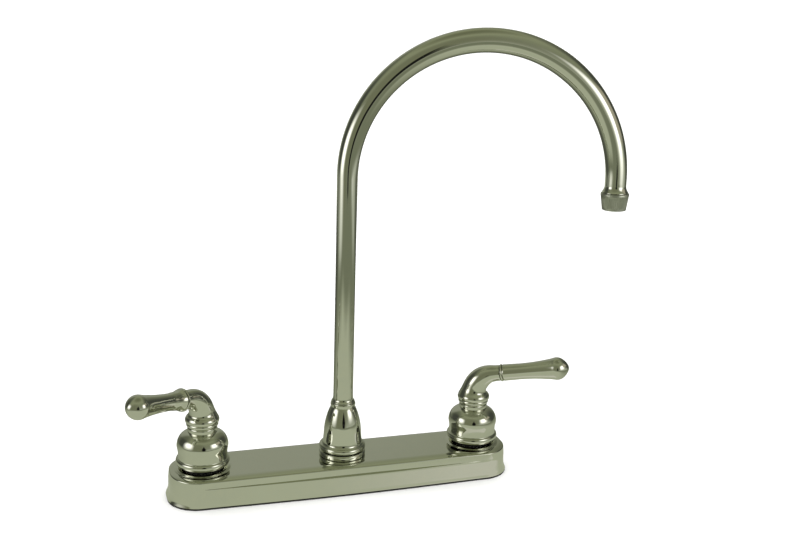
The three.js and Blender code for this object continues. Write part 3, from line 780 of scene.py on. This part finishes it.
for side, x0 in (("hot", -HX), ("cold", HX)):
    threaded_body(side, x0)
    settle(hex_nut(side + "_deck_nut", x0, 31.8, 10.8, -21.2, -14.2), "faucet_body", "brass", BRASS, side + "_mounting_nut")
    # The nut under each bell is black nylon, and its black also stands in for the shade in the gap under the bell rim:
    # painted shade.
    settle(hex_nut(side + "_shell_nut", x0, 25.4, 10.6, 22.7, 27.2), "faucet_body", "black_nylon", BLACK_NYLON_AND_SHADE, side + "_body_nut")
    washer = rounded([(10.8, -13.9, 0), (19.8, -13.9, 0.25), (20.0, -13.1, 0.3), (19.6, -12.3, 0.25), (10.8, -12.3, 0)], 4)
    settle(revolve(side + "_deck_washer", washer, 72, upright(x0), closed=True), "faucet_body", "zinc_steel", STEEL, side + "_mounting_washer")

# ------------------------------------------------------------------------ stage
bm = bmesh.new()
bmesh.ops.create_grid(bm, x_segments=8, y_segments=8, size=30.0)
floor = make_object("floor", bm)
g = Graph("pale_floor")
g.link(g.mix(g.remap(g.noise(g.coords(), 3.0, 2.0), 0.0, 1.0), (0.93, 0.93, 0.925), (0.95, 0.95, 0.945)), g.bsdf.inputs["Base Color"])
g.link(g.remap(g.noise(g.coords(), 9.0, 2.0), 0.7, 0.8), g.bsdf.inputs["Roughness"])
floor.data.materials.append(g.mat)

floor.visible_glossy = False


def smoothstep(nt, value, lo, hi):
    m = nt.nodes.new("ShaderNodeMapRange")
    m.interpolation_type = "SMOOTHSTEP"
    m.inputs["From Min"].default_value, m.inputs["From Max"].default_value = lo, hi
    nt.links.new(value, m.inputs["Value"])
    return m.outputs[0]


def mathnode(nt, op, a, b=None):
    m = nt.nodes.new("ShaderNodeMath")
    m.operation = op
    for i, v in enumerate((a, b)):
        if v is None:
            continue
        if isinstance(v, (int, float)):
            m.inputs[i].default_value = v
        else:
            nt.links.new(v, m.inputs[i])
    return m.outputs[0]


def mixcolour(nt, fac, a, b):
    m = nt.nodes.new("ShaderNodeMix")
    m.data_type = "RGBA"
    nt.links.new(fac, m.inputs[0])
    for i, v in ((6, a), (7, b)):
        if isinstance(v, tuple):
            m.inputs[i].default_value = (*v, 1.0)
        else:
            nt.links.new(v, m.inputs[i])
    return m.outputs[2]


# The studio: white for the eye and for the soft fill, an olive grey room for what
# polished metal mirrors.
world = bpy.data.worlds.new("studio")
bpy.context.scene.world = world
world.use_nodes = True
nt = world.node_tree
nt.nodes.clear()
w_out = nt.nodes.new("ShaderNodeOutputWorld")
coord = nt.nodes.new("ShaderNodeTexCoord")
xyz = nt.nodes.new("ShaderNodeSeparateXYZ")
nt.links.new(coord.outputs["Generated"], xyz.inputs[0])
ramp = nt.nodes.new("ShaderNodeValToRGB")
nt.links.new(mathnode(nt, "MULTIPLY_ADD", xyz.outputs[2], 0.5), ramp.inputs[0])
ramp.inputs[0].links[0].from_node.inputs[2].default_value = 0.5
ROOM = [(-90, (0.25, 0.255, 0.23)), (-35, (0.25, 0.255, 0.22)), (-15, (0.50, 0.52, 0.43)), (-3, (0.42, 0.44, 0.355)), (10, (0.27, 0.285, 0.215)),
        (25, (0.235, 0.25, 0.17)), (40, (0.245, 0.263, 0.172)), (60, (0.285, 0.305, 0.195)), (90, (0.16, 0.17, 0.10))]
els = ramp.color_ramp.elements
while len(els) < len(ROOM):
    els.new(0.5)
for el, (angle, c) in zip(els, ROOM):
    el.position = math.sin(math.radians(angle)) * 0.5 + 0.5
    el.color = (*c, 1.0)
room = ramp.outputs[0]
# Round areas of the room: bearing from the user's side, height, inner and outer half angle, colour.
for bearing, height, inner, outer, c in (
        (109, 17, 18, 50, (0.138, 0.145, 0.101)), (-134, 21, 16, 47, (0.120, 0.130, 0.090)),
        (180, 20, 10, 34, (0.32, 0.335, 0.265)), (-31, 9, 18, 50, (0.187, 0.197, 0.124)),
        (102, 14, 11, 36, (0.06, 0.065, 0.052)), (-116, 14, 9, 33, (0.06, 0.065, 0.052))):
    az, up_angle = math.radians(bearing), math.radians(height)
    dot = nt.nodes.new("ShaderNodeVectorMath")
    dot.operation = "DOT_PRODUCT"
    nt.links.new(coord.outputs["Generated"], dot.inputs[0])
    dot.inputs[1].default_value = (math.sin(az) * math.cos(up_angle), -math.cos(az) * math.cos(up_angle), math.sin(up_angle))
    share = smoothstep(nt, dot.outputs["Value"], math.cos(math.radians(outer)), math.cos(math.radians(inner)))
    room = mixcolour(nt, share, room, c)
bg_room = nt.nodes.new("ShaderNodeBackground")
nt.links.new(room, bg_room.inputs[0])
bg_white = nt.nodes.new("ShaderNodeBackground")
bg_white.inputs[0].default_value = (1.0, 1.0, 0.995, 1.0)
bg_white.inputs[1].default_value = 1.5
path = nt.nodes.new("ShaderNodeLightPath")
mix = nt.nodes.new("ShaderNodeMixShader")
nt.links.new(path.outputs["Is Glossy Ray"], mix.inputs[0])
nt.links.new(bg_white.outputs[0], mix.inputs[1])
nt.links.new(bg_room.outputs[0], mix.inputs[2])
nt.links.new(mix.outputs[0], w_out.inputs[0])


def card(name, centre, size, aim, colour, strength, soft=(0.18, 0.18), diamond=False, rise=None):
    """A glowing panel that only polished metal sees, with soft edges; soft is the share of each half side that fades, rise the share of
    the width that fades in from the left when the right edge is crisp."""
    bm = bmesh.new()
    uv = bm.loops.layers.uv.new("UVMap")
    n = 8
    vs = [[bm.verts.new(((i / n - 0.5) * size[0], (j / n - 0.5) * size[1], 0.0)) for i in range(n + 1)] for j in range(n + 1)]
    for j in range(n):
        for i in range(n):
            f = bm.faces.new([vs[j][i], vs[j][i + 1], vs[j + 1][i + 1], vs[j + 1][i]])
            for loop, (a, b) in zip(f.loops, ((i, j), (i + 1, j), (i + 1, j + 1), (i, j + 1))):
                loop[uv].uv = (a / n, b / n)
    me = bpy.data.meshes.new(name)
    bm.to_mesh(me)
    bm.free()
    ob = bpy.data.objects.new(name, me)
    bpy.context.scene.collection.objects.link(ob)
    z = (Vector(aim) - Vector(centre)).normalized()
    x = Vector((0, 0, 1)).cross(z)
    x = x.normalized() if x.length > 1e-3 else Vector((1, 0, 0))
    y = z.cross(x)
    mw = Matrix((x, y, z)).transposed().to_4x4()
    mw.translation = Vector(centre)
    ob.matrix_world = mw
    mat = bpy.data.materials.new(name)
    mat.use_nodes = True
    t = mat.node_tree
    t.nodes.clear()
    out = t.nodes.new("ShaderNodeOutputMaterial")
    tc = t.nodes.new("ShaderNodeTexCoord")
    sp = t.nodes.new("ShaderNodeSeparateXYZ")
    t.links.new(tc.outputs["UV"], sp.inputs[0])
    fade = None
    for axis, share in ((0, soft[0]), (1, soft[1])):
        d = mathnode(t, "ABSOLUTE", mathnode(t, "SUBTRACT", sp.outputs[axis], 0.5))
        k = smoothstep(t, d, 0.5, 0.5 - 0.5 * max(share, 0.01))
        fade = k if fade is None else mathnode(t, "MULTIPLY", fade, k)
    if rise is not None:
        fade = mathnode(t, "MULTIPLY", k, smoothstep(t, sp.outputs[0], 0.0, rise))
    if diamond:
        ends = [mathnode(t, "ABSOLUTE", mathnode(t, "SUBTRACT", sp.outputs[axis], 0.5)) for axis in (0, 1)]
        fade = smoothstep(t, mathnode(t, "ADD", ends[0], ends[1]), 0.5, 0.5 - 0.5 * soft[0])
    em = t.nodes.new("ShaderNodeEmission")
    em.inputs[0].default_value = (*colour, 1.0)
    em.inputs[1].default_value = strength
    clear = t.nodes.new("ShaderNodeBsdfTransparent")
    mx = t.nodes.new("ShaderNodeMixShader")
    t.links.new(fade, mx.inputs[0])
    t.links.new(clear.outputs[0], mx.inputs[1])
    t.links.new(em.outputs[0], mx.inputs[2])
    t.links.new(mx.outputs[0], out.inputs[0])
    me.materials.append(mat)
    ob.visible_camera = ob.visible_diffuse = ob.visible_transmission = ob.visible_volume_scatter = ob.visible_shadow = False
    return ob


card("softbox_left", (-0.66, -0.15, 0.28), (0.70, 0.64), (0.05, -0.02, 0.28), (1.0, 0.985, 0.95), 2.1, (0.95, 0.9))
card("softbox_right", (0.49, -0.52, 0.33), (0.64, 0.60), (0.05, -0.02, 0.33), (1.0, 0.985, 0.95), 2.1, (0.9, 0.85))
card("warm_panel", (0.66, -0.255, 0.42), (0.52, 0.36), (0.05, -0.02, 0.42), (0.43, 0.40, 0.31), 1.0, (0.6, 0.5))
card("dark_stand", (-0.135, -1.05, 0.180), (0.46, 1.15), (0.05, 0.0, 0.180), (0.004, 0.004, 0.004), 1.0, (0.5, 0.5), diamond=True)
card("table_near", (-0.055, -0.18, -0.001), (0.95, 0.72), (-0.055, -0.18, 1.0), (0.455, 0.48, 0.363), 1.0, (0.6, 0.6))
card("table_bright", (0.045, -0.044, -0.0006), (0.20, 0.050), (0.045, -0.044, 1.0), (0.60, 0.60, 0.52), 1.0, (0.1, 0.6), rise=0.9)
card("table_back", (0.10, 0.62, -0.002), (1.9, 0.95), (0.10, 0.62, 1.0), (0.085, 0.092, 0.07), 1.0, (0.4, 0.5))
card("table_far", (0.014, -0.183, -0.003), (1.65, 2.8), (0.014, -0.183, 1.0), (0.198, 0.214, 0.148), 1.0, (0.35, 0.35))

# ----------------------------------------------------------------------- camera
yaw, pitch, roll = 0.31133, 0.25233, 0.03223
fwd = Vector((math.sin(yaw) * math.cos(pitch), math.cos(yaw) * math.cos(pitch), -math.sin(pitch)))
right = Vector((math.cos(yaw), -math.sin(yaw), 0.0))
up = right.cross(fwd)
r2 = right * math.cos(roll) + up * math.sin(roll)
u2 = -right * math.sin(roll) + up * math.cos(roll)
cam_data = bpy.data.cameras.new("camera")
cam = bpy.data.objects.new("camera", cam_data)
bpy.context.scene.collection.objects.link(cam)
m = Matrix((r2, u2, -fwd)).transposed().to_4x4()
m.translation = Vector((-0.19341, -0.72581, 0.35755))
cam.matrix_world = m
cam_data.sensor_width = 36.0
cam_data.lens = 1101.789 / 800 * 36.0
cam_data.clip_start, cam_data.clip_end = 0.02, 200.0
bpy.context.scene.camera = cam

sc = bpy.context.scene
sc.view_settings.view_transform = "Standard"
sc.view_settings.look = "None"
